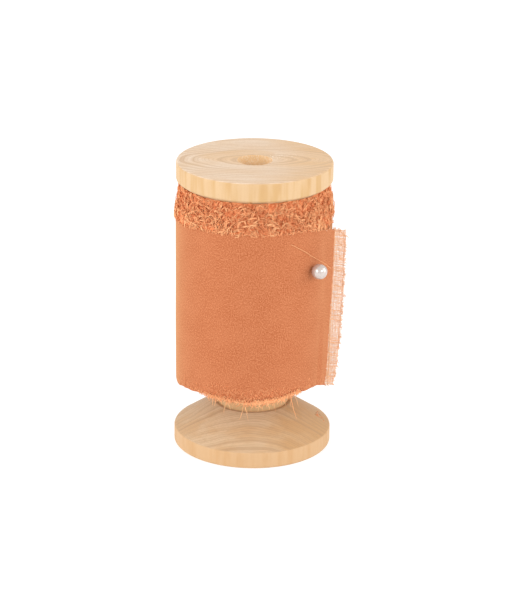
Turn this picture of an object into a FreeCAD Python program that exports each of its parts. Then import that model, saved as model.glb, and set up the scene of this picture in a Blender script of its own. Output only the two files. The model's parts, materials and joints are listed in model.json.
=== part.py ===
import FreeCAD, Part
import math
import os

# Ribbon spool: a turned wooden spool with a bored core, five metres of frayed
# crepe ribbon wound on it, and a bead-headed pin that holds the ribbon's end.
# Millimetres. +Z is the spool's axis, with the origin at the foot of its bore.
# Angles go round the axis from the front (-Y) towards +X.

# Wooden spool
top_flange_diameter = 45.0
base_flange_diameter = 46.0
top_rim_thickness = 5.2
base_rim_thickness = 4.7
flange_cone_rise = 7.9
core_diameter = 21.0
bore_diameter = 10.0
socket_depth = 4.0
socket_land = 0.9
glue_gap = 0.05
rim_rounding = 0.6

# Ribbon
ribbon_width = 50.0
ribbon_length = 5000.0
turn_pitch = 0.25
clear_below_ribbon = 8.4
clear_above_ribbon = 1.9
outer_turn_start_angle = 75.0
ribbon_leaves_angle = 60.0

# Free end of the ribbon
tail_length_at_top = 13.0
tail_length_at_foot = 8.0
tail_drop = 3.9
tail_thickness = 0.25
tail_gap = 0.3

# Frayed edges
fray_gap = 0.3
lower_fray_at_core = 5.0
lower_fray_at_outside = 2.5

# Tape that holds the ribbon's inner end on the core
tape_thickness = 0.1
tape_width = 19.0
tape_margin = 4.0

# Bead-headed pin
pearl_diameter = 4.5
pearl_gap = 0.2
pearl_angle = 48.0
pearl_above_ribbon_foot = 37.4
pin_length = 34.0
pin_diameter = 0.6
pin_point_length = 2.5
pin_point_diameter = 0.1
pin_hole_gap = 0.05
pin_clears_core_by = 5.0
pin_dip_degrees = 5.0

# Worked out from the sizes above
top_flange_radius = top_flange_diameter / 2
base_flange_radius = base_flange_diameter / 2
core_radius = core_diameter / 2
bore_radius = bore_diameter / 2
cone_tip_radius = core_radius + socket_land

base_cone_tip_z = base_rim_thickness + flange_cone_rise
ribbon_foot_z = base_cone_tip_z + clear_below_ribbon
ribbon_top_z = ribbon_foot_z + ribbon_width
top_cone_tip_z = ribbon_top_z + clear_above_ribbon
top_rim_z = top_cone_tip_z + flange_cone_rise
spool_height = top_rim_z + top_rim_thickness

ribbon_inner_radius = core_radius + tape_thickness
roll_radius = math.sqrt(ribbon_inner_radius**2 + ribbon_length * turn_pitch / math.pi)
under_turn_radius = roll_radius - turn_pitch
turns_on_roll = (roll_radius - ribbon_inner_radius) / turn_pitch


def around(angle, radius, z=0.0):
    """The point at that angle and radius; angle 0 is the front, 90 is +X."""
    turn = math.radians(angle)
    return FreeCAD.Vector(radius * math.sin(turn), -radius * math.cos(turn), z)


def turned(profile):
    """A solid of revolution about the Z axis, from (radius, z) corners."""
    corners = [FreeCAD.Vector(r, 0, z) for r, z in profile]
    face = Part.Face(Part.makePolygon(corners + corners[:1]))
    return face.revolve(FreeCAD.Vector(0, 0, 0), FreeCAD.Vector(0, 0, 1), 360)


def round_rings(solid, rings):
    """Rounds the circular edges named as (radius, z, rounding)."""
    for radius, z, rounding in rings:
        edges = [
            edge
            for edge in solid.Edges
            if isinstance(edge.Curve, Part.Circle)
            and abs(edge.Curve.Radius - radius) < 1e-6
            and abs(edge.Curve.Center.z - z) < 1e-6
        ]
        solid = solid.makeFillet(rounding, edges)
    return solid


def ring_sector(inner, outer, low, high, start, sweep):
    """Part of a ring round the Z axis, from angle start through sweep degrees."""
    corners = [around(start, r, z) for r, z in ((inner, low), (outer, low), (outer, high), (inner, high))]
    face = Part.Face(Part.makePolygon(corners + corners[:1]))
    return face.revolve(FreeCAD.Vector(0, 0, 0), FreeCAD.Vector(0, 0, 1), sweep)


def base_flange():
    """Lower disc: flat rim, cone up to the core, and a socket for the core's end."""
    socket_radius = core_radius + glue_gap
    solid = turned(
        [
            (bore_radius, 0),
            (base_flange_radius, 0),
            (base_flange_radius, base_rim_thickness),
            (cone_tip_radius, base_cone_tip_z),
            (socket_radius, base_cone_tip_z),
            (socket_radius, base_cone_tip_z - socket_depth),
            (bore_radius, base_cone_tip_z - socket_depth),
        ]
    )
    return round_rings(
        solid,
        [
            (base_flange_radius, 0, rim_rounding),
            (base_flange_radius, base_rim_thickness, rim_rounding),
        ],
    )


def top_flange():
    """Upper disc: the base's shape turned over, with its own rim size."""
    socket_radius = core_radius + glue_gap
    solid = turned(
        [
            (bore_radius, spool_height),
            (top_flange_radius, spool_height),
            (top_flange_radius, top_rim_z),
            (cone_tip_radius, top_cone_tip_z),
            (socket_radius, top_cone_tip_z),
            (socket_radius, top_cone_tip_z + socket_depth),
            (bore_radius, top_cone_tip_z + socket_depth),
        ]
    )
    return round_rings(
        solid,
        [
            (top_flange_radius, spool_height, rim_rounding),
            (top_flange_radius, top_rim_z, rim_rounding),
        ],
    )


def core_tube():
    """Bored dowel that joins the two discs, glued into their sockets."""
    low = base_cone_tip_z - socket_depth
    high = top_cone_tip_z + socket_depth
    return turned([(bore_radius, low), (core_radius, low), (core_radius, high), (bore_radius, high)])


def anchor_tape():
    """Strip of double-sided tape under the first turn of ribbon."""
    sweep = math.degrees(tape_width / core_radius)
    low = ribbon_foot_z + tape_margin
    high = ribbon_top_z - tape_margin
    return ring_sector(core_radius, ribbon_inner_radius, low, high, 180 - sweep / 2, sweep)


def pin_frame():
    """The bead's centre, and the direction that the pin is pushed in."""
    head_radius = roll_radius + pearl_gap + pearl_diameter / 2
    centre = around(pearl_angle, head_radius, ribbon_foot_z + pearl_above_ribbon_foot)
    miss = core_radius + pin_clears_core_by
    slant = math.asin(miss / head_radius)
    inward = around(pearl_angle, 1) * -math.cos(slant)
    along = around(pearl_angle + 90, 1) * math.sin(slant)
    dip = math.radians(pin_dip_degrees)
    direction = (inward + along) * math.cos(dip) - FreeCAD.Vector(0, 0, math.sin(dip))
    return centre, direction


def pin_shank():
    """Steel wire with a pointed end, from inside the bead to its tip."""
    centre, direction = pin_frame()
    tip = pin_length - pearl_diameter / 2
    shoulder = tip - pin_point_length
    wire = Part.makeCylinder(pin_diameter / 2, shoulder, centre, direction)
    point = Part.makeCone(
        pin_diameter / 2, pin_point_diameter / 2, pin_point_length, centre + direction * shoulder, direction
    )
    return wire.fuse(point).removeSplitter()


def pearl_head():
    """Bead, drilled half way through for the pin."""
    centre, direction = pin_frame()
    ball = Part.makeSphere(pearl_diameter / 2, centre)
    drilled = Part.makeCylinder(pin_diameter / 2, pearl_diameter, centre, direction)
    return ball.cut(drilled)


def pin_hole():
    """What the pin needs clear in the wound ribbon."""
    centre, direction = pin_frame()
    return Part.makeCylinder(pin_diameter / 2 + pin_hole_gap, pin_length, centre, direction)


def ribbon_inner_turns():
    """All the turns but the last, as one wound pack."""
    pack = turned(
        [
            (ribbon_inner_radius, ribbon_foot_z),
            (under_turn_radius, ribbon_foot_z),
            (under_turn_radius, ribbon_top_z),
            (ribbon_inner_radius, ribbon_top_z),
        ]
    )
    return pack.cut(pin_hole())


def ribbon_outer_turn():
    """The last turn, which ends where the free end leaves the roll."""
    sweep = ribbon_leaves_angle + 360 - outer_turn_start_angle
    turn = ring_sector(
        under_turn_radius, roll_radius, ribbon_foot_z, ribbon_top_z, outer_turn_start_angle, sweep
    )
    return turn.cut(pin_hole())


def tail_root():
    """Where the free end begins, just past the last turn's end."""
    standing_off = around(ribbon_leaves_angle, under_turn_radius + tail_gap)
    return standing_off + around(ribbon_leaves_angle + 90, tail_gap)


def ribbon_tail():
    """The free end: a thin flap, cut aslant, that runs on straight and droops."""
    outward = around(ribbon_leaves_angle, 1)
    along = around(ribbon_leaves_angle + 90, 1)
    root = tail_root()
    foot = ribbon_foot_z
    top = ribbon_top_z
    top_drop = tail_drop
    foot_drop = tail_drop * tail_length_at_foot / tail_length_at_top
    corners = [
        root + FreeCAD.Vector(0, 0, foot),
        root + along * tail_length_at_foot + FreeCAD.Vector(0, 0, foot - foot_drop),
        root + along * tail_length_at_top + FreeCAD.Vector(0, 0, top - top_drop),
        root + FreeCAD.Vector(0, 0, top),
    ]
    face = Part.Face(Part.makePolygon(corners + corners[:1]))
    return face.extrude(outward * tail_thickness)


def upper_fray():
    """Collar of frayed threads between the roll and the upper disc's cone."""
    cone_share = min(1.0, (under_turn_radius - cone_tip_radius) / (top_flange_radius - cone_tip_radius))
    inside_z = top_cone_tip_z - fray_gap
    outside_z = inside_z + flange_cone_rise * cone_share
    return turned(
        [
            (ribbon_inner_radius, ribbon_top_z),
            (under_turn_radius, ribbon_top_z),
            (under_turn_radius, outside_z),
            (cone_tip_radius, inside_z),
            (ribbon_inner_radius, inside_z),
        ]
    )


def lower_fray():
    """Collar of frayed threads that hangs from the roll's lower end."""
    return turned(
        [
            (ribbon_inner_radius, ribbon_foot_z - lower_fray_at_core),
            (under_turn_radius, ribbon_foot_z - lower_fray_at_outside),
            (under_turn_radius, ribbon_foot_z),
            (ribbon_inner_radius, ribbon_foot_z),
        ]
    )


parts = {
    "base_flange": base_flange,
    "top_flange": top_flange,
    "core_tube": core_tube,
    "anchor_tape": anchor_tape,
    "ribbon_inner_turns": ribbon_inner_turns,
    "ribbon_outer_turn": ribbon_outer_turn,
    "ribbon_tail": ribbon_tail,
    "upper_fray": upper_fray,
    "lower_fray": lower_fray,
    "pin_shank": pin_shank,
    "pearl_head": pearl_head,
}

os.makedirs("parts", exist_ok=True)
for name, make in parts.items():
    shape = make()
    shape.exportStep("parts/" + name + ".step")
    box = shape.BoundBox
    print(
        f"{name}: {len(shape.Solids)} solid, valid {shape.isValid()}, {shape.Volume:.1f} mm3, "
        f"x {box.XMin:.2f}..{box.XMax:.2f}, y {box.YMin:.2f}..{box.YMax:.2f}, z {box.ZMin:.2f}..{box.ZMax:.2f}"
    )

head, pushed_in = pin_frame()
print(f"spool height {spool_height:.3f}, roll radius {roll_radius:.3f}, turns {turns_on_roll:.1f}")
print("pin head", [round(v, 4) for v in head], "pushed in along", [round(v, 6) for v in pushed_in])
print("tail hinge", [round(v, 4) for v in tail_root() + around(ribbon_leaves_angle, tail_thickness / 2)])
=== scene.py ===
import bpy
import json
import math
import numpy as np
from mathutils import Matrix, Vector


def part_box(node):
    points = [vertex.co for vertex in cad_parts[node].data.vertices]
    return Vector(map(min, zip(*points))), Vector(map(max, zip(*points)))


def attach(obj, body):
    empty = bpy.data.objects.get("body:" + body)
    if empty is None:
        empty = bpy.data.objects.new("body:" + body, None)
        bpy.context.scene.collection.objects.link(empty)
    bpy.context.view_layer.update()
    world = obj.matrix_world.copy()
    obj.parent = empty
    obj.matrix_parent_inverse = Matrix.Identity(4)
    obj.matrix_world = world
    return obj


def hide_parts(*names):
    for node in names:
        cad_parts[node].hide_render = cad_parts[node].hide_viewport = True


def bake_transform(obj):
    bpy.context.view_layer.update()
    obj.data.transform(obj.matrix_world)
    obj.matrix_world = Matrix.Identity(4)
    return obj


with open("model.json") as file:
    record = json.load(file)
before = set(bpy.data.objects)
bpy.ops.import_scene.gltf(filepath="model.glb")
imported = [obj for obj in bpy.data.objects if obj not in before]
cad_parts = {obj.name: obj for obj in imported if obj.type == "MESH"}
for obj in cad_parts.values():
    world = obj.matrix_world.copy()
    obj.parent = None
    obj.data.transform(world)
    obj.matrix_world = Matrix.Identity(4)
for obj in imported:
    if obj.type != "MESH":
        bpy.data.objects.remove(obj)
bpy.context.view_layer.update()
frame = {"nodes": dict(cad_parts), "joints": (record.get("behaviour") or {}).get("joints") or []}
mm = 0.001  # sizes below are written as millimetres times this


class Wire:
    # One value travelling through a material. + - * / add Math nodes.
    def __init__(self, tree, socket):
        self.tree = tree
        self.socket = socket

    def node(self, kind, settings=None, inputs=None, output=0):
        made = self.tree.nodes.new(kind)
        for name, value in (settings or {}).items():
            setattr(made, name, value)
        for key, value in (inputs or {}).items():
            if isinstance(value, Wire):
                self.tree.links.new(value.socket, made.inputs[key])
            else:
                made.inputs[key].default_value = value
        return Wire(self.tree, made.outputs[output])

    def maths(self, operation, first, second=0.0, clamp=False):
        settings = {"operation": operation, "use_clamp": clamp}
        return self.node("ShaderNodeMath", settings, {0: first, 1: second})

    def __add__(self, other):
        return self.maths("ADD", self, other)

    def __sub__(self, other):
        return self.maths("SUBTRACT", self, other)

    def __rsub__(self, other):
        return self.maths("SUBTRACT", other, self)

    def __mul__(self, other):
        return self.maths("MULTIPLY", self, other)

    def __truediv__(self, other):
        return self.maths("DIVIDE", self, other)

    __radd__ = __add__
    __rmul__ = __mul__

    def clamped(self):
        return self.maths("ADD", self, 0.0, clamp=True)

    def between(self, low, high):
        # 0 below low, 1 above high, smooth between
        settings = {"interpolation_type": "SMOOTHSTEP"}
        return self.node("ShaderNodeMapRange", settings, {0: self, 1: low, 2: high})

    def blendTo(self, colour, factor):
        # this colour, turning into the other as factor goes from 0 to 1
        settings = {"data_type": "RGBA"}
        return self.node("ShaderNodeMix", settings, {0: factor, 6: self, 7: colour}, output=2)

    def vector(self, operation, second, output=0):
        return self.node("ShaderNodeVectorMath", {"operation": operation}, {0: self, 1: second}, output)

    def axis(self, index):
        return self.node("ShaderNodeSeparateXYZ", {}, {0: self}, output=index)

    def length(self):
        return self.vector("LENGTH", (0, 0, 0), output=1)

    def noise(self, scale, detail=2.0, roughness=0.5):
        values = {"Vector": self, "Scale": scale, "Detail": detail, "Roughness": roughness}
        return self.node("ShaderNodeTexNoise", {}, values)

    def stretched(self, scales, detail, roughness=0.5):
        # noise with its own scale along each axis
        return self.vector("MULTIPLY", scales).noise(1.0, detail, roughness)


def colour(red, green, blue):
    return (red, green, blue, 1.0)


def newMaterial(name, shader, paint):
    # shader: the shader's own constants; paint: makes its varying inputs from a start wire
    made = bpy.data.materials.new(name)
    made.use_nodes = True
    tree = made.node_tree
    tree.nodes.clear()
    surface = tree.nodes.new("ShaderNodeBsdfPrincipled")
    output = tree.nodes.new("ShaderNodeOutputMaterial")
    tree.links.new(surface.outputs[0], output.inputs[0])
    for socket, value in shader.items():
        surface.inputs[socket].default_value = value
    for socket, wire in paint(Wire(tree, None)).items():
        tree.links.new(wire.socket, surface.inputs[socket])
    return made


def objectPlace(start):
    # the point's place in the spool's frame, in millimetres
    place = start.node("ShaderNodeTexCoord", output=3)
    return place.vector("MULTIPLY", (1000, 1000, 1000))


def flatColour(start, value):
    return start.node("ShaderNodeMix", {"data_type": "RGBA"}, {0: 0.0, 6: value, 7: value}, output=2)


def corners(node):
    # the node's box in the CAD frame
    low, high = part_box(node)
    return np.array(low), np.array(high)


baseHigh = corners("base_flange")[1]
topLow, topHigh = corners("top_flange")
packLow, packHigh = corners("ribbon_inner_turns")
ribbonFoot = packLow[2]
ribbonTop = packHigh[2]
ribbonWidth = ribbonTop - ribbonFoot
underRadius = packHigh[0]
rollRadius = corners("ribbon_outer_turn")[1][0]
turnPitch = rollRadius - underRadius
lastTurnRadius = rollRadius - turnPitch * 0.5 + 0.03 * mm  # the middle of its cloth
coreRadius = corners("core_tube")[1][0]
ribbonInnerRadius = corners("anchor_tape")[1][1]
rimUnderside = corners("upper_fray")[1][2]
coneTipRadius = coreRadius + 0.9 * mm  # each disc's cone ends in a narrow ring round the core
tailHinge = next(joint for joint in frame["joints"] if joint["name"] == "tail_lift")
hingePlace = np.array(tailHinge["pos_m"])
leaveAngle = math.degrees(math.atan2(hingePlace[0], -hingePlace[1]))
print("frame read: roll radius", round(rollRadius / mm, 2), "mm, ribbon leaves at", round(leaveAngle, 1))


def around(angle, radius, height):
    # places round the spool's axis; angle 0 is the front and 90 is +X
    turn = np.radians(angle)
    return np.stack(np.broadcast_arrays(radius * np.sin(turn), -radius * np.cos(turn), height), axis=-1)


def unit(vectors):
    return vectors / np.linalg.norm(vectors, axis=-1, keepdims=True)


def ripples(random, places, wavelength, count=14):
    # a smooth random field, mostly within -1..1
    waves = unit(random.normal(size=(count, places.shape[-1]))) * random.uniform(0.6, 1.5, (count, 1))
    phases = random.uniform(0, math.tau, count)
    return np.sin(places @ waves.T * (math.tau / wavelength) + phases).sum(-1) / math.sqrt(count)


def newPiece(name, points, faces, material, marks=None):
    # marks: values on the points, by attribute name
    mesh = bpy.data.meshes.new(name)
    mesh.from_pydata(points.reshape(-1, 3).tolist(), [], faces)
    mesh.polygons.foreach_set("use_smooth", [True] * len(mesh.polygons))
    for mark, values in (marks or {}).items():
        if values.ndim == 1:
            mesh.attributes.new(mark, "FLOAT", "POINT").data.foreach_set("value", values)
        else:
            mesh.attributes.new(mark, "FLOAT_VECTOR", "POINT").data.foreach_set("vector", values.ravel())
    mesh.materials.append(material)
    mesh.update()
    piece = bpy.data.objects.new(name, mesh)
    bpy.context.scene.collection.objects.link(piece)
    return piece


def gridFaces(columns, rows, first=0, flip=False):
    corner = first + (np.arange(columns - 1)[:, None] * rows + np.arange(rows - 1)).ravel()
    quads = np.stack([corner, corner + rows, corner + rows + 1, corner + 1], axis=-1)
    return (quads[:, ::-1] if flip else quads).tolist()


def ribbonPiece(name, middle, outward, along):
    # a length of ribbon with two faces and four edges; middle is (columns, rows, 3)
    columns, rows = middle.shape[:2]
    half = outward * (crepe["thickness"] / 2)
    points = np.concatenate([(middle + half).reshape(-1, 3), (middle - half).reshape(-1, 3)])
    count = columns * rows
    faces = gridFaces(columns, rows) + gridFaces(columns, rows, count, flip=True)
    low = np.arange(columns) * rows
    ends = np.arange(rows)
    borders = [low[::-1], low + rows - 1, ends, (ends + (columns - 1) * rows)[::-1]]
    for border in borders:
        strip = np.stack([border[:-1], border[1:], border[1:] + count, border[:-1] + count], axis=-1)
        faces += strip.tolist()
    cloth = np.stack([along, middle[..., 2], np.zeros_like(along)], axis=-1).reshape(-1, 3) / mm
    piece = newPiece(name, points, faces, crepeMaterial, {"cloth": np.concatenate([cloth, cloth])})
    piece.data.set_sharp_from_angle(angle=math.radians(60))
    return piece


def threadPiece(name, paths, widths, material, tints):
    # round-ish yarns: paths is (threads, points, 3), widths (threads, points) are their radii
    threads, count = paths.shape[:2]
    sides = 3
    tangents = unit(np.gradient(paths, axis=1))
    side = np.empty_like(tangents)
    last = np.cross(tangents[:, 0], [0.31, 0.52, 0.79])  # any side will do to begin with
    for index in range(count):
        last = unit(last - tangents[:, index] * (last * tangents[:, index]).sum(-1, keepdims=True))
        side[:, index] = last
    other = np.cross(tangents, side)
    turn = np.arange(sides) * (math.tau / sides)
    ring = side[:, :, None] * np.cos(turn)[:, None] + other[:, :, None] * np.sin(turn)[:, None]
    points = paths[:, :, None] + ring * widths[:, :, None, None]
    start = (np.arange(threads)[:, None, None] * count + np.arange(count - 1)[:, None]) * sides
    here = np.arange(sides)
    after = (here + 1) % sides
    quads = np.stack([start + here, start + after, start + after + sides, start + here + sides], axis=-1)
    tips = np.arange(threads)[:, None] * count * sides
    caps = np.concatenate([tips + here[::-1], tips + (count - 1) * sides + here])
    faces = quads.reshape(-1, 4).tolist() + caps.tolist()
    marks = {"tint": np.repeat(tints, count * sides).astype(float)}
    return newPiece(name, points, faces, material, marks)


def growThreads(random, roots, headings, lengths, steps, wander, pull, curl):
    # yarns that set off along their headings, drift, and curl; returns (threads, steps + 1, 3)
    drift = random.normal(size=roots.shape)
    heading = headings
    paths = [roots]
    for _ in range(steps):
        drift = 0.7 * drift + 0.7 * random.normal(size=roots.shape)
        heading = unit(heading + wander * drift + pull)
        paths.append(paths[-1] + heading * (lengths / steps)[:, None])
    paths = np.stack(paths, axis=1)
    turns = np.linspace(0, 1, steps + 1) * (lengths / curl["pitch"])[:, None] * math.tau
    turns += random.uniform(0, math.tau, (len(roots), 1))
    across = unit(np.cross(headings, random.normal(size=roots.shape)))
    beside = np.cross(headings, across)
    swing = curl["radius"] * np.linspace(0, 1, steps + 1).clip(0, 0.4) / 0.4
    circle = across[:, None] * np.cos(turns)[..., None] + beside[:, None] * np.sin(turns)[..., None]
    return paths + circle * swing[:, None]


def woodPaint(look):
    def paint(start):
        place = objectPlace(start)
        facing = start.node("ShaderNodeNewGeometry", output=1).axis(2)
        # upward faces take the pale face colour and the rest the rim's: partly the sanded faces' own tone,
        # partly a painted pale sheen on the faces that look up
        flat = facing.between(0.45, 0.9)
        wander = place.stretched(look["wanderStretch"], 2.0) - 0.5
        grain = place.node("ShaderNodeMapping", {"vector_type": "TEXTURE"},
                           {0: place, 1: look["pith"], 2: [math.radians(angle) for angle in look["lean"]]})
        across = grain.axis(1)
        height = grain.axis(2)
        reach = start.maths("SQRT", across * across + height * height) + wander * look["wander"]
        rings = reach / look["ringPitch"]
        ring = start.maths("FRACT", rings)
        ringTone = start.node("ShaderNodeTexWhiteNoise", {"noise_dimensions": "1D"},
                              {"W": start.maths("FLOOR", rings)})
        late = ring.between(0.2, 0.9) * (1 - ring.between(0.9, 1.0)) * (ringTone * 0.8 + 0.2)
        fineRing = start.maths("FRACT", rings * 3.0 + ringTone)
        fine = fineRing.between(0.55, 0.9) * (1 - fineRing.between(0.92, 1.0))
        fibres = grain.stretched(look["fibreStretch"], 3.0, roughness=0.6)
        hairline = grain.stretched(look["hairStretch"], 1.0)
        fleck = grain.stretched(look["fleckStretch"], 0.0).between(0.70, 0.78)
        rimBand = place.stretched(look["rimBandStretch"], 2.0).between(0.42, 0.68)
        rimStreak = place.stretched(look["rimStreakStretch"], 3.0).between(0.4, 0.75)
        cloud = place.stretched(look["cloudStretch"], 2.0).between(0.38, 0.66)
        stain = place.vector("SUBTRACT", look["stainAt"]).vector("MULTIPLY", look["stainReach"])
        stain = 1 - (stain.length() + wander * 1.3).between(0.85, 1.15)
        wood = flatColour(start, look["pale"])
        side = place.axis(0).between(2.0, 18.0) * look["warmSide"]
        wood = wood.blendTo(look["warm"], (cloud * look["cloud"] + stain * look["stain"] + side).clamped())
        wood = wood.blendTo(look["late"], (late * look["ringDepth"] + fine * look["fineDepth"]).clamped())
        streaks = fibres.between(0.45, 0.75) * look["fibreDepth"]
        streaks = streaks + hairline.between(0.5, 0.75) * look["hairDepth"]
        wood = wood.blendTo(look["late"], streaks)
        bands = rimStreak * look["rimStreakDepth"] + rimBand * look["rimBandDepth"]
        rim = flatColour(start, look["rim"]).blendTo(look["rimDark"], bands)
        rim = rim.blendTo(look["pale"], (1 - rimBand) * 0.2)
        wood = rim.blendTo(wood, flat)
        wood = wood.blendTo(look["fleck"], fleck * look["fleckDepth"])
        # rough end grain in the bore, and a few pale nicks beside it
        fromAxis = place.vector("MULTIPLY", (1.0, 1.0, 0.0)).length()
        inBore = 1 - fromAxis.between(look["boreRadius"], look["boreRadius"] + 0.15)
        boreGrain = place.stretched(look["boreStretch"], 3.0).between(0.5, 0.68)
        wood = wood.blendTo(look["bore"], inBore).blendTo(look["nick"], inBore * boreGrain * 0.6)
        nick = place.vector("SUBTRACT", look["nickAt"]).vector("MULTIPLY", look["nickReach"])
        nick = 1 - nick.length().between(0.6, 1.0)
        nick = nick * place.stretched(look["nickStretch"], 1.0).between(0.62, 0.70)
        wood = wood.blendTo(look["nick"], nick * look["nickDepth"])
        rough = 0.52 + fibres * 0.2 - late * 0.06
        relief = fibres * 0.5 + hairline * 0.35 - late * 0.4 + fleck * -0.5
        bump = start.node("ShaderNodeBump", {}, {"Height": relief, "Strength": 0.35, "Distance": 0.06 * mm})
        return {"Base Color": wood, "Roughness": rough, "Normal": bump}
    return paint


topWood = {
    "pith": (3.0, 0.5, 86.0),  # a place on the rings' own axis; places here are in mm
    "lean": (0.0, 25.0, 3.0),
    "ringPitch": 1.45,
    "ringDepth": 0.85,
    "fineDepth": 0.4,
    "fibreDepth": 0.45,
    "hairDepth": 0.2,
    "fleckDepth": 0.2,
    "rimStreakDepth": 0.25,
    "rimBandDepth": 0.3,
    "nickDepth": 0.8,
    # lumps to a millimetre along each axis
    "fibreStretch": (0.10, 3.6, 3.6),
    "hairStretch": (0.22, 12.0, 12.0),
    "fleckStretch": (0.7, 6.0, 6.0),
    "rimBandStretch": (0.42, 0.42, 0.05),
    "rimStreakStretch": (1.6, 1.6, 0.10),
    "cloudStretch": (0.08, 0.2, 0.2),
    "boreStretch": (3.2, 3.2, 1.6),
    "nickStretch": (2.6, 0.7, 1.0),
    "wander": 2.4,
    "wanderStretch": (0.05, 0.10, 0.10),
    "pale": colour(0.77, 0.615, 0.475),
    "warm": colour(0.71, 0.47, 0.26),
    "late": colour(0.57, 0.375, 0.22),
    "rim": colour(0.60, 0.385, 0.18),
    "rimDark": colour(0.53, 0.30, 0.115),
    "fleck": colour(0.44, 0.27, 0.15),
    "cloud": 0.35,
    "stainAt": (-3.0, 2.6, 86.0),
    "stainReach": (0.1, 0.155, 0.05),
    "stain": 0.6,
    "warmSide": 0.8,
    "boreRadius": 5.0,
    "bore": colour(0.80, 0.54, 0.29),
    "nick": colour(0.88, 0.76, 0.62),
    "nickAt": (7.8, 3.8, 86.0),
    "nickReach": (0.16, 0.3, 0.3),
}
baseWood = {
    **topWood,
    "pith": (10.0, 70.0, 8.0),
    "lean": (0.0, 4.0, -5.0),
    "ringPitch": 2.1,
    "ringDepth": 0.6,
    "fineDepth": 0.3,
    "wander": 6.0,
    "wanderStretch": (0.035, 0.06, 0.06),
    "pale": colour(0.62, 0.435, 0.27),
    "warm": colour(0.55, 0.315, 0.14),
    "late": colour(0.39, 0.235, 0.12),
    "rim": colour(0.585, 0.355, 0.175),
    "rimDark": colour(0.52, 0.285, 0.115),
    "cloud": 0.6,
    "stain": 0.0,
    "warmSide": 0.9,
    "nickAt": (0, 0, -90.0),  # none on this disc
}
coreWood = {**baseWood, "pale": colour(0.56, 0.37, 0.155), "warm": colour(0.50, 0.31, 0.125)}
woodShader = {"Specular IOR Level": 0.35}


def tapePaint(start):
    cloud = objectPlace(start).noise(0.8, detail=2.0)
    film = flatColour(start, colour(0.75, 0.73, 0.66)).blendTo(colour(0.6, 0.57, 0.5), cloud * 0.5)
    return {"Base Color": film}


def steelPaint(start):
    drawn = objectPlace(start).stretched((30.0, 2.0, 30.0), 2.0)
    steel = flatColour(start, colour(0.62, 0.62, 0.64)).blendTo(colour(0.42, 0.42, 0.45), drawn * 0.6)
    return {"Base Color": steel, "Roughness": 0.18 + drawn * 0.2}


def pearlPaint(start):
    place = objectPlace(start)
    edge = start.node("ShaderNodeLayerWeight", {}, {"Blend": 0.35}, output=1)
    bloom = place.noise(1.1, detail=2.0).between(0.35, 0.65)
    nacre = flatColour(start, colour(0.61, 0.54, 0.50)).blendTo(colour(0.54, 0.455, 0.42), bloom * 0.6)
    # darker and browner towards the rim as it turns from view: painted shade of the pearl's rounded edge
    nacre = nacre.blendTo(colour(0.44, 0.31, 0.25), edge.between(0.25, 0.95) * 0.8)
    grain = place.noise(9.0, detail=3.0)
    bump = start.node("ShaderNodeBump", {}, {"Height": grain, "Strength": 0.15, "Distance": 0.02 * mm})
    return {"Base Color": nacre, "Roughness": 0.20 + grain * 0.12, "Normal": bump}


pearlShader = {"Metallic": 0.5, "Coat Weight": 0.5, "Coat Roughness": 0.06, "Specular IOR Level": 0.6}
hardPieces = {
    "top_flange": newMaterial("top_disc_wood", woodShader, woodPaint(topWood)),
    "base_flange": newMaterial("base_disc_wood", woodShader, woodPaint(baseWood)),
    "core_tube": newMaterial("core_wood", woodShader, woodPaint(coreWood)),
    "anchor_tape": newMaterial("tape_film", {"Roughness": 0.4}, tapePaint),
    "pin_shank": newMaterial("pin_wire", {"Metallic": 1.0}, steelPaint),
    "pearl_head": newMaterial("pearl_lacquer", pearlShader, pearlPaint),
}
for node, material in hardPieces.items():
    frame["nodes"][node].data.materials.clear()
    frame["nodes"][node].data.materials.append(material)
print("wood, tape, pin and pearl ready")

crepe = {
    "thickness": 0.16 * mm,
    "ground": colour(0.458, 0.142, 0.056),
    "light": colour(0.57, 0.21, 0.095),
    "deep": colour(0.36, 0.09, 0.031),
    "grainPitch": 0.32,  # mm, so that a crepe pebble is about twice that across
    "yarnPitch": 0.36,
    "grainStretch": (1.0, 0.8, 1.0),
    "slubStretch": (0.25, 2.4, 1.0),
    "puckerStretch": (1.0, 0.5, 1.0),
    "napFrom": ribbonFoot / mm - 0.5,  # mm up, where the cloth by the foot is rough
    "napReach": 5.0,  # and how far on that fades out
}


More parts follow.
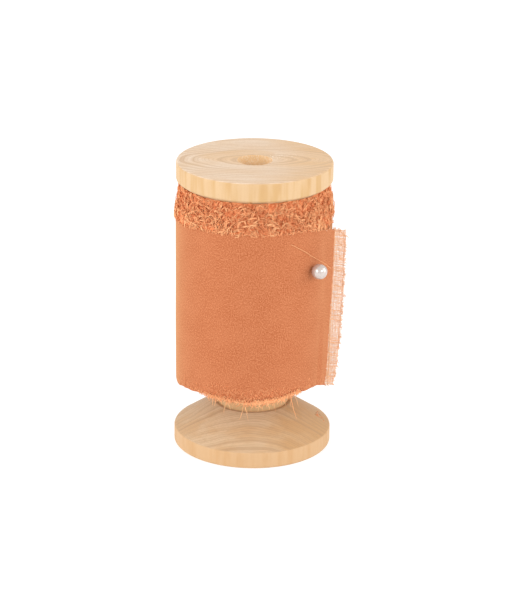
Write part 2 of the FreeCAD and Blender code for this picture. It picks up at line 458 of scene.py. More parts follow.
def crepePaint(start):
    cloth = start.node("ShaderNodeAttribute", {"attribute_name": "cloth"}, output=1)
    grain = cloth.vector("MULTIPLY", crepe["grainStretch"])
    pebble = grain.noise(1.0 / crepe["grainPitch"], detail=1.5, roughness=0.6)
    bend = cloth.noise(1.3, detail=1.0)
    warp = start.maths("SINE", (cloth.axis(0) + bend * 0.5) * (math.tau / crepe["yarnPitch"]))
    weft = start.maths("SINE", (cloth.axis(1) + bend * 0.5) * (math.tau / crepe["yarnPitch"]))
    weave = warp * weft
    slub = cloth.stretched(crepe["slubStretch"], 2.0).between(0.55, 0.8)
    cloud = cloth.noise(0.16, detail=2.0).between(0.3, 0.7)
    relief = pebble * 0.8 + weave * 0.12
    pucker = cloth.vector("MULTIPLY", crepe["puckerStretch"]).noise(1.5, detail=1.0)
    nap = 1 - cloth.axis(1).between(crepe["napFrom"], crepe["napFrom"] + crepe["napReach"])
    # pebbles that the bump raises are painted lighter and its hollows painted darker: painted light and
    # shade of the relief; by the foot the rough nap adds patches of its own
    pebbleLightAndNap = pebble.between(0.5, 0.66) + nap * pucker.between(0.5, 0.6) * 0.8
    pebbleShadeAndNap = (1 - pebble.between(0.34, 0.5)) + nap * (1 - pucker.between(0.38, 0.46)) * 0.8
    # the dye's colour, with that painted light and shade laid over it
    dyeAndShade = flatColour(start, crepe["ground"]).blendTo(crepe["light"], pebbleLightAndNap.clamped())
    dyeAndShade = dyeAndShade.blendTo(crepe["deep"], pebbleShadeAndNap.clamped() * 0.9)
    dyeAndShade = dyeAndShade.blendTo(crepe["light"], cloud * 0.2 + slub * 0.1)
    bump = start.node("ShaderNodeBump", {}, {"Height": relief, "Strength": 0.6, "Distance": 0.10 * mm})
    return {"Base Color": dyeAndShade, "Roughness": 0.82 + pebble * 0.1, "Normal": bump}


clothShader = {"Specular IOR Level": 0.15, "Sheen Weight": 0.8, "Sheen Roughness": 0.4,
               "Sheen Tint": colour(1.0, 0.60, 0.28)}
crepeMaterial = newMaterial("crepe_ribbon", clothShader, crepePaint)


def yarnPaint(look):
    def paint(start):
        tint = start.node("ShaderNodeAttribute", {"attribute_name": "tint"}, output=2)
        twist = objectPlace(start).noise(3.5, detail=2.0)
        yarn = flatColour(start, look["deep"]).blendTo(look["light"], (tint * 0.75 + twist * 0.35).clamped())
        return {"Base Color": yarn, "Roughness": 0.7 + twist * 0.15}
    return paint


frayYarn = {"deep": colour(0.765, 0.225, 0.084), "light": colour(0.97, 0.54, 0.27)}
# the free end's yarns are paler than the ribbon's own dye: painted light standing in for the light that
# shines through the thin gauze
tailYarn = {"deep": colour(0.80, 0.41, 0.225), "light": colour(0.93, 0.575, 0.37)}
yarnShader = {"Specular IOR Level": 0.06}
frayMaterial = newMaterial("frayed_yarn", yarnShader, yarnPaint(frayYarn))
tailMaterial = newMaterial("gauze_yarn", clothShader, yarnPaint(tailYarn))

outerTurn = {
    "startAngle": 75.0,  # degrees round the spool, where the last turn begins
    "columns": 300,
    "rows": 90,
    "seamAngle": -108.0,
    # degrees round the spool, and how many mm each edge lies above the pack's own there
    "topEdge": [(-285, 0), (-180, -0.4), (-90, -1.5), (-62, -1.1), (-38, 0), (35, 0), (49, -0.6),
                (60, -1.7)],
    "footEdge": [(-285, 0), (-150, -0.2), (-95, -1.4), (-72, -1.5), (-62, -0.9), (-54, -0.3), (-44, 0.1),
                 (-28, 0.0), (0, -0.7), (20, -0.1), (36, 0.8), (49, 0.3), (60, 0.1)],
    "edgeWander": 0.18 * mm,
    "wanderLength": 9 * mm,
    "swell": 0.03 * mm,
    "swellLength": 22 * mm,
    "tuck": 0.06 * mm,  # how far the foot edge lies in
    "tuckLength": 1.2 * mm,
    "taper": 1.55 * mm,
    "taperPower": 1.6,
    "easeAngle": 8.0,  # degrees, over which the unevenness dies out where the ribbon leaves
}


def edgeOffset(edge, angle):
    # eases from each point of the edge's list to the next
    first = outerTurn["startAngle"] - 360
    angle = (angle - first) % 360 + first
    angles, offsets = np.array(outerTurn[edge]).T
    index = np.clip(np.searchsorted(angles, angle) - 1, 0, len(angles) - 2)
    share = np.clip((angle - angles[index]) / (angles[index + 1] - angles[index]), 0, 1)
    share = share * share * (3 - 2 * share)
    return (offsets[index] + (offsets[index + 1] - offsets[index]) * share) * mm


def topEdge(angle):
    return ribbonTop + edgeOffset("topEdge", angle)


def footEdge(angle):
    return ribbonFoot + edgeOffset("footEdge", angle)


def narrowing(angle, share):
    # the roll is wound a little tighter towards its foot on the right
    towardsFoot = np.clip(1 - share, 0, 1)**outerTurn["taperPower"]
    towardsRight = (0.5 + 0.5 * np.sin(np.radians(angle)))**2
    return outerTurn["taper"] * towardsFoot * towardsRight


woundTurns = {
    "turnColumns": 72,
    "levels": [0.0, 0.02, 0.08, 0.25, 0.5, 0.75, 0.92, 0.98, 1.0],  # shares of the width
    "edgeGap": 0.35 * mm,
    "sway": 0.22 * mm,
    "swayLength": 45 * mm,
}


def woundPack():
    random = np.random.default_rng(11)
    look = woundTurns
    turns = (underRadius - ribbonInnerRadius) / turnPitch
    angle = outerTurn["startAngle"] - 360 * np.linspace(turns, 0, int(turns * look["turnColumns"]))
    radius = underRadius - turnPitch / 2 + turnPitch * (angle - outerTurn["startAngle"]) / 360
    radius = np.maximum(radius, ribbonInnerRadius + crepe["thickness"] / 2)
    along = np.concatenate([[0], np.cumsum(np.radians(np.diff(angle)) * radius[1:])])
    line = np.stack([along, np.zeros_like(along)], axis=-1)
    foot = ribbonFoot + look["edgeGap"] + ripples(random, line, look["swayLength"]) * look["sway"]
    level = np.array(look["levels"])
    heights = foot[:, None] + (ribbonWidth - 2 * look["edgeGap"]) * level
    filled = (radius - ribbonInnerRadius) / (underRadius - ribbonInnerRadius)
    radii = radius[:, None] - filled[:, None] * narrowing(angle[:, None], level)
    middle = around(angle[:, None], radii, heights)
    outward = around(angle[:, None], 1.0, np.zeros_like(heights))
    piece = ribbonPiece("wound_ribbon", middle, outward, np.broadcast_to(along[:, None], heights.shape))
    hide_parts("ribbon_inner_turns")
    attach(piece, "spool")
    print("wound ribbon", round(float(along[-1]), 3), "m,", round(turns, 1), "turns")


woundPack()

# the free end is close cloth at first, then an open weave, made yarn by yarn
freeEnd = {
    "closeReach": 6.4 * mm,
    "closeAtFoot": 0.72,  # the share of that reach that is left at the foot
    "closeUneven": 0.3 * mm,
    "closeColumns": 14,
    "weftPitch": 0.365 * mm,
    "warpPitch": 0.62 * mm,
    "yarnRadius": 0.104 * mm,
    "crimp": 0.05 * mm,
    "unevenness": 0.09 * mm,
    # how far the cut end reaches, mm, by the share of the ribbon's width from its foot
    "reach": [(0.0, 9.6), (0.065, 11.0), (0.17, 11.8), (0.27, 12.4), (0.38, 12.9), (0.48, 13.0),
              (0.7, 12.9), (1.0, 13.0)],
    "fullReach": 13 * mm,
    "bendLength": 2 * mm,
    "slope": 0.30,  # how steeply it hangs
    "sag": 3.5,  # and how much more towards its tip, per metre
    "fringe": 0.8 * mm,
    "turnUp": 0.5 * mm,
    "wave": 0.18 * mm,
    "waveLength": 5 * mm,
    "tuckedIn": 0.6 * mm,  # how far the weft begins inside the close cloth
    "hiddenWidth": 0.3,  # the warp is this much thinner where the close cloth hides it
    "yarnPoints": 110,
    "curledEnds": 95,
    "curl": {"radius": 0.22 * mm, "pitch": 1.6 * mm},
}


def onFreeEnd(along, share, lift=0.0):
    # a place on the free end: along from where it leaves, share of the way up its width
    outward = around(leaveAngle, 1.0, 0.0)
    tangent = around(leaveAngle + 90, 1.0, 0.0)
    reach = along / freeEnd["fullReach"]
    settled = np.clip(along / freeEnd["bendLength"], 0, 1)
    stand = lastTurnRadius - narrowing(leaveAngle, share) * (1 - 0.2 * settled)
    curl = freeEnd["turnUp"] * np.clip(reach, 0, 1.2)**2 * np.sin(share * 2.4)
    wave = freeEnd["wave"] * np.sin(share * 6.7 + along / freeEnd["waveLength"]) * settled
    foot = footEdge(leaveAngle)
    height = foot + (topEdge(leaveAngle) - foot) * share
    height = height - freeEnd["slope"] * along - freeEnd["sag"] * along**2
    flat = along[..., None] * tangent + (stand + curl + wave + lift)[..., None] * outward
    return flat + np.stack([0 * height, 0 * height, height], axis=-1)


def closeEdge(share):
    # how far the close cloth goes on from where it leaves the roll
    least = freeEnd["closeAtFoot"]
    return freeEnd["closeReach"] * (least + (1 - least) * np.clip(share * 2, 0, 1))


def outerWinding():
    # the last turn and the close cloth of the free end, one strip cut behind the roll in two pieces
    random = np.random.default_rng(12)
    look = outerTurn
    angle = np.linspace(look["startAngle"] - 360, leaveAngle, look["columns"])
    share = np.linspace(0, 1, look["rows"])
    spacing = 0.5 - 0.5 * np.cos(share * math.pi)  # finer at the two edges
    share = 0.5 * share + 0.5 * spacing
    turned = np.radians(angle)
    sides = rollRadius * np.stack([np.sin(turned), np.cos(turned)], axis=-1)
    ends = np.clip((leaveAngle - angle) / look["easeAngle"], 0, 1)
    foot = footEdge(angle) + ripples(random, sides, look["wanderLength"]) * look["edgeWander"] * ends
    top = topEdge(angle) + ripples(random, sides, look["wanderLength"]) * look["edgeWander"] * ends
    heights = foot[:, None] + (top - foot)[:, None] * share
    spots = np.stack(np.broadcast_arrays(sides[:, None, 0], sides[:, None, 1], heights), axis=-1)
    swell = ripples(random, spots, look["swellLength"]) * look["swell"]
    tuck = np.exp(-(heights - foot[:, None]) / look["tuckLength"]) * look["tuck"]
    radius = lastTurnRadius + (swell - tuck) * ends[:, None]
    radius = np.maximum(radius, underRadius + crepe["thickness"] / 2 + 0.01 * mm)
    radius = radius - narrowing(angle[:, None], share)
    middle = around(angle[:, None], radius, heights)
    outward = around(angle[:, None], 1.0, np.zeros_like(heights))
    along = np.radians(angle - angle[0])[:, None] * rollRadius + np.zeros_like(heights)
    # on past where it leaves the roll, to an uneven edge
    random = np.random.default_rng(15)
    edge = closeEdge(share) + random.uniform(-1, 1, look["rows"]) * freeEnd["closeUneven"]
    further = np.linspace(0, 1, freeEnd["closeColumns"] + 1)[1:, None] * edge
    beyond = onFreeEnd(further, np.broadcast_to(share, further.shape))
    away = np.broadcast_to(outward[-1:, :, :], beyond.shape)
    middle = np.concatenate([middle, beyond])
    outward = np.concatenate([outward, away])
    along = np.concatenate([along, along[-1:] + further])
    seam = int(np.searchsorted(angle, look["seamAngle"]))
    turn = ribbonPiece("last_turn", middle[:seam + 1], outward[:seam + 1], along[:seam + 1])
    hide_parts("ribbon_outer_turn")
    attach(turn, "spool")
    first = float(along[seam, 0])
    cloth = ribbonPiece("free_end_cloth", middle[seam:], outward[seam:], along[seam:])
    blendFreeEnd(cloth)
    length = float(along.max()) - first
    print("last turn", round(first, 4), "m, then", round(length, 4), "m to the edge of the close cloth")
    return cloth, length


def blendFreeEnd(piece):
    start = around(leaveAngle, rollRadius, ribbonTop / 2)
    tangent = around(leaveAngle + 90, 1.0, 0.0)
    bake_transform(piece)


def cutReach(level):
    # how far the cut end reaches at that share of the width
    shares, reaches = np.array(freeEnd["reach"]).T
    return np.interp(level, shares, reaches * mm)


def uneven(random, places, other):
    line = np.stack(np.broadcast_arrays(places, other), axis=-1)
    return ripples(random, line, 2.6 * mm) * freeEnd["unevenness"]


def weftYarns(random):
    # from inside the close cloth to a little past the last warp
    look = freeEnd
    level = np.arange(0.3 * mm, ribbonWidth, look["weftPitch"])
    level = level + random.normal(0, 0.07 * mm, len(level))
    ends = cutReach(level / ribbonWidth) + random.uniform(-0.3 * mm, look["fringe"], len(level))
    begin = closeEdge(level / ribbonWidth) - look["tuckedIn"]
    along = begin[:, None] + np.linspace(0, 1, look["yarnPoints"]) * (ends - begin)[:, None]
    height = level[:, None] + uneven(random, along, level[:, None])
    crimp = np.sin(along / look["warpPitch"] * math.pi) * look["crimp"]
    return onFreeEnd(along, height / ribbonWidth, crimp)


def warpYarns(random):
    # up the width, starting where the slanting cut lets them
    look = freeEnd
    shares, reaches = np.array(look["reach"]).T
    reaches = reaches * mm
    first = float(closeEdge(0.0)) - 0.3 * mm
    places = np.linspace(0, 1, int((reaches[-1] - first) / look["warpPitch"] * 1.15))
    # closer set near the close cloth
    places = first + (reaches[-1] - first) * (0.7 * places + 0.3 * places**2)
    places = places + random.normal(0, 0.05 * mm, len(places))
    low = np.interp(places, reaches, shares, left=0.0) * ribbonWidth
    low = low + random.uniform(-0.5, 0.4, len(places)) * mm
    high = ribbonWidth + random.uniform(-0.4, 0.7, len(places)) * mm
    up = low[:, None] + np.linspace(0, 1, look["yarnPoints"]) * (high - low)[:, None]
    beside = places[:, None] + uneven(random, places[:, None], up)
    crimp = -np.sin(up / look["weftPitch"] * math.pi) * look["crimp"]
    hidden = beside < closeEdge(up / ribbonWidth) - 0.2 * mm  # inside the close cloth
    return onFreeEnd(beside, up / ribbonWidth, crimp), hidden


def curledEnds(random):
    # along the top edge and the cut
    look = freeEnd
    count = look["curledEnds"]
    topmost = random.uniform(0, 1, count) < 0.22
    share = np.where(topmost, random.uniform(0.98, 1.0, count), random.uniform(0, 1, count))
    reach = cutReach(share)
    reach = np.where(topmost, random.uniform(0.15, 1.0, count) * reach,
                     reach - random.uniform(0, 0.6, count) * mm)
    tangent = around(leaveAngle + 90, 1.0, 0.0)
    aim = np.where(topmost[:, None], np.array([0, 0, 1.0]), tangent)
    headings = unit(aim + random.normal(0, 0.5, (count, 3)))
    lengths = random.uniform(0.5, 1.5, count) * mm
    return growThreads(random, onFreeEnd(reach, share), headings, lengths, look["yarnPoints"] - 1, 0.07,
                       np.zeros(3), look["curl"])


def openWeave(cloth, clothLength):
    random = np.random.default_rng(13)
    look = freeEnd
    weft = weftYarns(random)
    warp, hidden = warpYarns(random)
    loose = curledEnds(random)
    paths = np.concatenate([weft, warp, loose])
    woven = len(weft) + len(warp)
    count = look["yarnPoints"]
    widths = look["yarnRadius"] * random.uniform(0.7, 1.4, (len(paths), 1)) * np.ones(count)
    widths[:woven] *= random.uniform(0.85, 1.15, (woven, count))
    widths[len(weft):woven] *= np.where(hidden, look["hiddenWidth"], 1.0)
    tints = random.uniform(0.1, 1.0, len(paths))
    piece = threadPiece("free_end", paths, widths, tailMaterial, tints)
    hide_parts("ribbon_tail")
    blendFreeEnd(piece)
    print("free end", len(weft), "weft and", len(warp), "warp yarns")


openWeave(*outerWinding())

upperFray = {
    "pieces": 4,
    "steps": 9,
    # fine matted yarns, then the tufts of several strands that lie over them; the matted ones take a darker
    # tint as painted shade among the tufts, and the tufts a lighter one as painted light
    "layers": [
        {"count": 4600, "strands": 1, "yarnRadius": 0.095 * mm, "length": (1.4 * mm, 3.6 * mm),
         "wander": 0.34, "push": (0.1, 0.5), "rise": (0.0, 0.7), "swing": 0.5, "droop": 0.08, "tint": 0.38,
         "curl": {"radius": 0.20 * mm, "pitch": 1.9 * mm}},
        {"count": 1050, "strands": 4, "yarnRadius": 0.09 * mm, "length": (2.0 * mm, 5.0 * mm),
         "wander": 0.15, "push": (0.3, 0.9), "rise": (0.45, 0.7), "swing": 0.45, "droop": 0.20, "tint": 0.8,
         "curl": {"radius": 0.16 * mm, "pitch": 5.5 * mm}},
    ],
    "strandGap": 0.20 * mm,
    "tipGap": 0.12 * mm,
    "underDisc": 0.25 * mm,  # how far below it the yarns stay
    "overlap": 0.8 * mm,  # how far they hang over the last turn's edge
    # yarns are painted darker the higher they stand, up to the disc: painted shade under its rim
    "shadeUnderDisc": 0.38,  # how much, from that edge up to the disc
    "bulge": 0.65 * mm,
    "waist": 1.1 * mm,  # how far the fray draws in under the disc
}


def coneUnderside(radius):
    # height of the top disc's cone at that radius
    share = (radius - coneTipRadius) / (topHigh[0] - coneTipRadius)
    return topLow[2] + (rimUnderside + 0.3 * mm - topLow[2]) * np.clip(share, 0, 1.0)


def keepUnderDisc(paths, gap, furthest, innermost):
    radius = np.hypot(paths[..., 0], paths[..., 1])
    kept = np.clip(radius, innermost, furthest)
    paths = paths * np.stack([kept / radius, kept / radius, np.ones_like(kept)], axis=-1)
    paths[..., 2] = np.minimum(paths[..., 2], coneUnderside(kept) - gap)
    return paths


def frayRadius(share):
    # the fray's own outline: share 0 at the ribbon's edge, 1 under the disc
    return underRadius - upperFray["waist"] * np.clip(share, 0, 1)**0.8


bed = {
    "columns": 420,
    "rows": 44,
    "depth": 3.4 * mm,  # how far down inside the last turn it goes
    "setBack": 0.45 * mm,  # how far it lies inside the fray's own outline
    "lumps": [(1.5 * mm, 40, 0.20 * mm), (4 * mm, 20, 0.15 * mm)],  # wavelength, waves, size
}


def frayBed():
    # matted edge of the turns, that the loose yarns stand out of
    random = np.random.default_rng(21)
    columns, rows = bed["columns"], bed["rows"]
    angle = np.linspace(0, 360, columns, endpoint=False)
    share = np.linspace(0, 1, rows)
    low = ribbonTop - bed["depth"]
    height = low + (rimUnderside - 0.2 * mm - low) * share
    spot = around(angle[:, None], underRadius, height[None, :])
    lumps = sum(ripples(random, spot, wavelength, waves) * size for wavelength, waves, size in bed["lumps"])
    above = np.clip((height - ribbonTop) / (rimUnderside - ribbonTop), 0, 1)
    radius = frayRadius(above) - bed["setBack"] * np.clip(above * 6, 0, 1) + lumps
    radius = np.where(height < ribbonTop + 0.8 * mm, np.minimum(radius, underRadius), radius)
    outer = around(angle[:, None], radius, height[None, :] + 0 * radius)
    within = ribbonInnerRadius + 0.3 * mm
    ceiling = around(angle[:, None], within, np.array([coneUnderside(ribbonInnerRadius) - 0.4 * mm]))
    floorRing = around(angle[:, None], within, np.array([low]))
    points = np.concatenate([floorRing, outer, ceiling], axis=1)
    total = rows + 2  # with the two inner rings
    column = np.arange(columns)[:, None]
    row = np.arange(total)
    beyond = (column + 1) % columns
    upper = np.roll(row, -1)
    faces = np.stack(np.broadcast_arrays(column * total + row, beyond * total + row,
                                         beyond * total + upper, column * total + upper), axis=-1)
    tint = np.zeros(points.shape[:2])
    # the bed stays near the dark colour as painted shade beneath the yarns, and is lighter where its lumps
    # stand out: painted light
    tint[:, 1:-1] = (lumps / (0.5 * mm)).clip(0, 1) * 0.35
    faces = faces.reshape(-1, 4).tolist()
    piece = newPiece("fray_bed", points, faces, frayMaterial, {"tint": tint.ravel()})
    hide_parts("upper_fray")
    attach(piece, "spool")


def upperLayer(random, layer):
    count = layer["count"]
    angle = random.uniform(0, 360, count)
    share = random.uniform(0, 1, count)
    edge = topEdge(angle)
    height = edge + 0.2 * mm + (rimUnderside - 0.6 * mm - edge) * share
    roots = around(angle, frayRadius(share) - 0.3 * mm, height)
    outward = around(angle, 1.0, 0 * height)
    sideways = around(angle + 90, 1.0, 0 * height)
    rise = random.normal(*layer["rise"], count)
    swing = random.normal(0, layer["swing"], count)
    push = random.uniform(*layer["push"], count)
    upward = rise[:, None] * np.array([0, 0, 1.0])
    headings = unit(outward * push[:, None] + sideways * swing[:, None] + upward)
    lengths = random.uniform(*layer["length"], count) * (1.0 - 0.3 * share)
    steps = upperFray["steps"]
    droop = np.array([0, 0, -layer["droop"]])
    paths = growThreads(random, roots, headings, lengths, steps, layer["wander"], droop, layer["curl"])
    strands = layer["strands"]
    rootToTip = np.linspace(0, 1, steps + 1)[:, None]
    spread = random.normal(0, upperFray["strandGap"], (count, strands, 1, 3)) * (0.6 + rootToTip)
    loosening = random.normal(0, upperFray["tipGap"], (count, strands, 1, 3)) * rootToTip**2
    paths = (paths[:, None] + spread + loosening).reshape(count * strands, steps + 1, 3)
    angle, share, edge = (np.repeat(values, strands) for values in (angle, share, edge))
    tuft = np.repeat(random.normal(0, 0.2, count), strands)
    count = count * strands
    furthest = frayRadius(share) + upperFray["bulge"] * (1.25 - 0.9 * share)
    paths = keepUnderDisc(paths, upperFray["underDisc"], furthest[:, None], underRadius - 2.0 * mm)
    lowest = (edge + 0.1 * mm - random.uniform(0, upperFray["overlap"], count))[:, None]
    paths[..., 2] = np.maximum(paths[..., 2], lowest)
    radius = np.hypot(paths[..., 0], paths[..., 1])
    over = paths[..., 2] < edge[:, None] + 0.1 * mm
    kept = np.where(over, np.maximum(radius, rollRadius + 0.10 * mm), radius)
    paths[..., 0] *= kept / radius
    paths[..., 1] *= kept / radius
    taper = np.interp(np.linspace(0, 1, steps + 1), [0, 0.7, 1], [1.0, 0.9, 0.45])
    widths = layer["yarnRadius"] * random.uniform(0.65, 1.35, (count, 1)) * taper
    # painted shade: tints fall the nearer the yarn stands to the disc
    tints = np.clip(random.normal(layer["tint"], 0.12, count) + tuft - upperFray["shadeUnderDisc"] * share, 0, 1)
    return angle, paths, widths, tints


def upperYarns():
    random = np.random.default_rng(22)
    layers = [upperLayer(random, layer) for layer in upperFray["layers"]]
    angle, paths, widths, tints = (np.concatenate(values) for values in zip(*layers))
    sector = (angle * upperFray["pieces"] / 360).astype(int)
    for index in range(upperFray["pieces"]):
        mine = sector == index
        piece = threadPiece(f"upper_yarns_{index + 1}", paths[mine], widths[mine], frayMaterial, tints[mine])
        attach(piece, "spool")


frayBed()
upperYarns()
print("upper fray ready")

lowerFray = {
    "fuzzCount": 480,
    "frontCount": 850,
    "hangCount": 1100,
    "fuzzBand": 4.2 * mm,  # how far up the last turn the fuzz goes
    "frontSpan": (-44, 40),  # degrees
    "weight": 0.12,
    # degrees, mm long, lean to the side
    "longEnds": [(-31.6, 2.8, 0.1), (-28, 2.6, -0.1), (-24, 2.2, 0.1), (-19.5, 4.2, 0.0), (-18.9, 3.0, 0.1),
                 (-13, 2.8, 0.0), (-6.2, 5.6, 0.0), (-5.0, 5.4, -0.9), (-5.8, 3.6, 0.15), (0, 2.6, 0.0),
                 (6, 3.2, 0.1), (7, 2.6, -0.1), (11, 2.4, 0.0), (16.4, 3.2, 0.0), (23, 2.4, 0.1),
                 (29.0, 6.8, 0.5), (29.8, 3.4, 0.2), (33, 3.6, -0.1)],
    "steps": 9,
    "yarnRadius": 0.085 * mm,
    "curl": {"radius": 0.07 * mm, "pitch": 1.8 * mm},
}


def pushedOut(paths, least, most=1.0):
    radius = np.hypot(paths[..., 0], paths[..., 1])
    scale = np.clip(radius, least, most) / radius
    return paths * np.stack([scale, scale, np.ones_like(scale)], axis=-1)


def hangingYarns(random, angle, start, top, lengths, spread, outward=0.0, lean=0.0, wander=0.28):
    down = np.array([0, 0, -1.0])
    roots = around(angle, start, top)
    headings = down + random.normal(0, spread, (len(angle), 3)) + outward * around(angle, 1.0, 0 * angle)
    headings = headings + np.multiply(lean, around(angle + 90, 1.0, 0 * angle).T).T
    return growThreads(random, roots, unit(headings), lengths, lowerFray["steps"], wander,
                       down * lowerFray["weight"], lowerFray["curl"])


def lowerYarns():
    random = np.random.default_rng(31)
    look = lowerFray
    # a thin fuzz that lies on the last turn, near its edge
    count = look["fuzzCount"]
    angle = np.clip(random.normal(-2, 27, count), -60, 50)
    edge = footEdge(angle)
    top = edge + random.uniform(0.2, 1.0, count)**2 * look["fuzzBand"]
    skin = rollRadius - narrowing(angle, 0.0)
    lengths = random.uniform(0.4, 1.1, count) * mm
    fuzz = hangingYarns(random, angle, skin, top, lengths, 0.4, 0.1)
    fuzz = pushedOut(fuzz, (skin + 0.02 * mm)[:, None], (skin + 0.12 * mm)[:, None])
    fuzz[..., 2] = np.maximum(fuzz[..., 2], (edge - random.uniform(0, 0.2, count) * mm)[:, None])
    # the turns' ends below that edge, at the front
    count = look["frontCount"]
    angle = random.uniform(*look["frontSpan"], count)
    top = footEdge(angle) + (random.uniform(0, 1, count)**2 * 1.1 - 0.1) * mm
    lengths = (0.35 + random.uniform(0, 1, count)**1.6 * 1.9) * mm * np.exp(-(angle / 40)**6)
    front = hangingYarns(random, angle, np.full(count, rollRadius), top, lengths, 0.22)
    over = front[..., 2] > footEdge(angle)[:, None] - 0.1 * mm
    skin = (rollRadius - narrowing(angle, 0.0) + 0.06 * mm)[:, None]
    outermost = skin + 0.2 * mm
    front = np.where(over[..., None], pushedOut(front, skin, outermost), pushedOut(front, 0, outermost))
    # ends that hang from the inner turns, round the core
    count = look["hangCount"]
    angle = random.uniform(0, 360, count)
    reach = random.uniform(0, 1, count)**0.6
    start = coreRadius + 0.6 * mm + (underRadius - coreRadius - 1.2 * mm) * reach
    start = start - reach * narrowing(angle, 0.0)
    lengths = (0.6 + random.uniform(0, 1, count)**1.8 * 3.4) * mm * (1.4 - 0.9 * reach)
    inner = hangingYarns(random, angle, start, np.full(count, ribbonFoot + 0.6 * mm), lengths, 0.22)
    inner = pushedOut(inner, coreRadius + 0.15 * mm)
    # the few long ones
    angle, length, lean = np.array(look["longEnds"]).T
    start = np.full(len(angle), rollRadius - 0.4 * mm)
    long = hangingYarns(random, angle, start, footEdge(angle) + 0.4 * mm, (length + 0.4) * 1.05 * mm,
                        0.08, lean=lean, wander=0.10)
    long = pushedOut(long, coreRadius + 0.3 * mm)
    paths = np.concatenate([fuzz, front, inner, long])
    taper = np.interp(np.linspace(0, 1, look["steps"] + 1), [0, 0.7, 1], [1.0, 0.85, 0.4])
    widths = look["yarnRadius"] * random.uniform(0.6, 1.4, (len(paths), 1)) * taper
    widths[:len(fuzz)] *= 0.75  # the fuzz is finer
    tone = np.repeat([0.35, 0.55, 0.35, 1.0], [len(fuzz), len(front), len(inner), len(long)])
    tints = np.clip(random.normal(0, 0.25, len(paths)) + tone, 0, 1)
    piece = threadPiece("lower_yarns", paths, widths, frayMaterial, tints)
    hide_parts("lower_fray")
    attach(piece, "spool")


strayFibres = {
    "count": 8,
    "angle": 91,  # degrees
    "radius": 20.0 * mm,
    "spread": 0.7 * mm,
    "length": (0.9 * mm, 2.2 * mm),
    "yarnRadius": 0.075 * mm,
    "curl": {"radius": 0.12 * mm, "pitch": 1.4 * mm},
    "rimTop": 4.7 * mm,
}


def strays():
    # a few fibres that have dropped on the base's cone
    random = np.random.default_rng(51)
    look = strayFibres
    count = look["count"]
    roots = around(look["angle"], look["radius"], 0.0) + random.normal(0, look["spread"], (count, 3))
    headings = unit(random.normal(size=(count, 3)) * [1, 1, 0])
    lengths = random.uniform(*look["length"], count)
    paths = growThreads(random, roots, headings, lengths, lowerFray["steps"], 0.3, np.zeros(3), look["curl"])
    radius = np.hypot(paths[..., 0], paths[..., 1])
    share = np.clip((radius - coneTipRadius) / (baseHigh[0] - coneTipRadius), 0, 1)
    cone = baseHigh[2] + (look["rimTop"] - baseHigh[2]) * share
    paths[..., 2] = np.maximum(paths[..., 2] + cone, cone + look["yarnRadius"])
    widths = np.full(paths.shape[:2], look["yarnRadius"])
    piece = threadPiece("stray_fibres", paths, widths, frayMaterial, np.full(count, 0.35))
    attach(piece, "spool")


lowerYarns()
strays()
print("lower fray ready")

# one drawn thread that lies over the last turn, by the pin
drawnThread = {
    # degrees, mm up; past the place where the ribbon leaves, it runs on over the free end
    "places": [(27.4, 67.5), (36.0, 65.5), (45.0, 63.0), (53.3, 60.8), (60.0, 59.3), (72.0, 57.7),
               (74.0, 57.3)],
    "points": 60,
    "yarnRadius": 0.10 * mm,
}


def drawnYarn():
    random = np.random.default_rng(41)
    angles, heights = np.array(drawnThread["places"]).T
    angle = np.linspace(angles[0], angles[-1], drawnThread["points"])
    height = np.interp(angle, angles, heights) * mm + ripples(random, angle[:, None], 9.0) * 0.06 * mm
    foot = footEdge(leaveAngle)
    share = (height - foot) / (topEdge(leaveAngle) - foot)
    along = np.radians(np.clip(angle - leaveAngle, 0, None)) * rollRadius
    onRoll = around(angle, rollRadius + 0.09 * mm - narrowing(angle, share), height)
    onEnd = onFreeEnd(along, share, 0.14 * mm)
    path = np.where((angle > leaveAngle)[:, None], onEnd, onRoll)[None]
    widths = np.full((1, drawnThread["points"]), drawnThread["yarnRadius"])
    piece = threadPiece("drawn_thread", path, widths, frayMaterial, np.array([0.9]))
    blendFreeEnd(piece)


drawnYarn()
print("drawn thread ready")

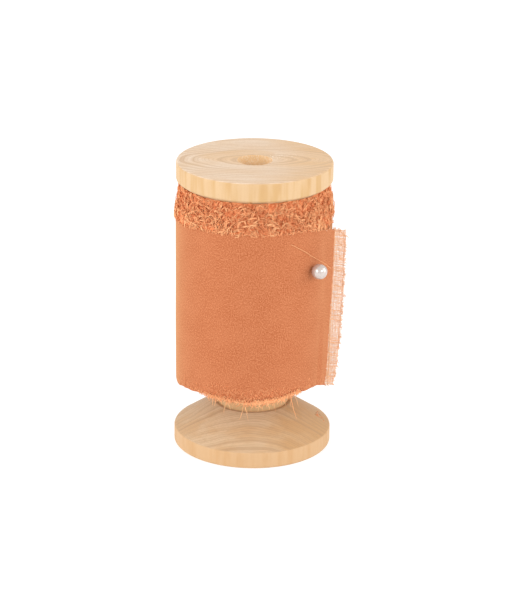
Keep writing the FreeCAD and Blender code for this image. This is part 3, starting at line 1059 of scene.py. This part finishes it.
studio = {
    "worldLight": 0.85,
    "lamps": {
        "key": {"place": (-0.60, -0.78, 0.50), "size": 0.24, "power": 3.0},
        "fill": {"place": (0.60, -0.76, 0.46), "size": 0.24, "power": 2.6},
        "left": {"place": (-0.95, -0.02, 0.40), "size": 0.6, "power": 3.5},
        "right": {"place": (0.95, -0.02, 0.40), "size": 0.6, "power": 3.0},
    },
    "floorSize": 1.6,
    "floorGlow": 0.62,  # a lit table, so that nothing casts a grey shadow on it
}
floorShader = {"Roughness": 0.9, "Emission Color": colour(1.0, 1.0, 1.0),
               "Emission Strength": studio["floorGlow"]}


def floorPaint(start):
    cloud = objectPlace(start).noise(0.01, detail=1.0)
    table = flatColour(start, colour(0.46, 0.46, 0.46)).blendTo(colour(0.45, 0.45, 0.45), cloud)
    return {"Base Color": table}


def studioSet():
    floorPoints = np.array([(-1, -1, 0), (1, -1, 0), (1, 1, 0), (-1, 1, 0)]) * studio["floorSize"]
    floorPoints = floorPoints + np.array([0, 0, -0.05 * mm])
    floor = newPiece("floor", floorPoints, [(0, 1, 2, 3)], newMaterial("floor", floorShader, floorPaint))
    world = bpy.data.worlds.new("studio")
    world.use_nodes = True
    background = world.node_tree.nodes["Background"]
    background.inputs["Color"].default_value = colour(1.0, 1.0, 1.0)
    background.inputs["Strength"].default_value = studio["worldLight"]
    bpy.context.scene.world = world
    bpy.context.scene.view_settings.view_transform = "Standard"  # keeps the dye's full strength
    middle = Vector((0, 0, topHigh[2] / 2))
    for name, look in studio["lamps"].items():
        light = bpy.data.lights.new(name, "AREA")
        light.size = look["size"]
        light.energy = look["power"]
        lamp = bpy.data.objects.new(name, light)
        lamp.location = look["place"]
        lamp.rotation_euler = (middle - lamp.location).to_track_quat("-Z", "Y").to_euler()
        bpy.context.scene.collection.objects.link(lamp)


view = {
    "lens": 147.6,
    "sensor": 36.0,
    "place": (0.0, -0.6808, 0.2951),
    "roll": 0.616,  # degrees
    "shift": (0.0052, -0.0042),
}


def placeCamera():
    lens = bpy.data.cameras.new("camera")
    lens.lens = view["lens"]
    lens.sensor_width = view["sensor"]
    lens.shift_x, lens.shift_y = view["shift"]
    camera = bpy.data.objects.new("camera", lens)
    place = Vector(view["place"])
    aim = Vector((0, 0, topHigh[2] / 2)) - place
    turn = aim.to_track_quat("-Z", "Y").to_matrix() @ Matrix.Rotation(math.radians(view["roll"]), 3, "Z")
    camera.matrix_world = Matrix.Translation(place) @ turn.to_4x4()
    bpy.context.scene.collection.objects.link(camera)
    bpy.context.scene.camera = camera


studioSet()
placeCamera()
print("studio and camera ready")
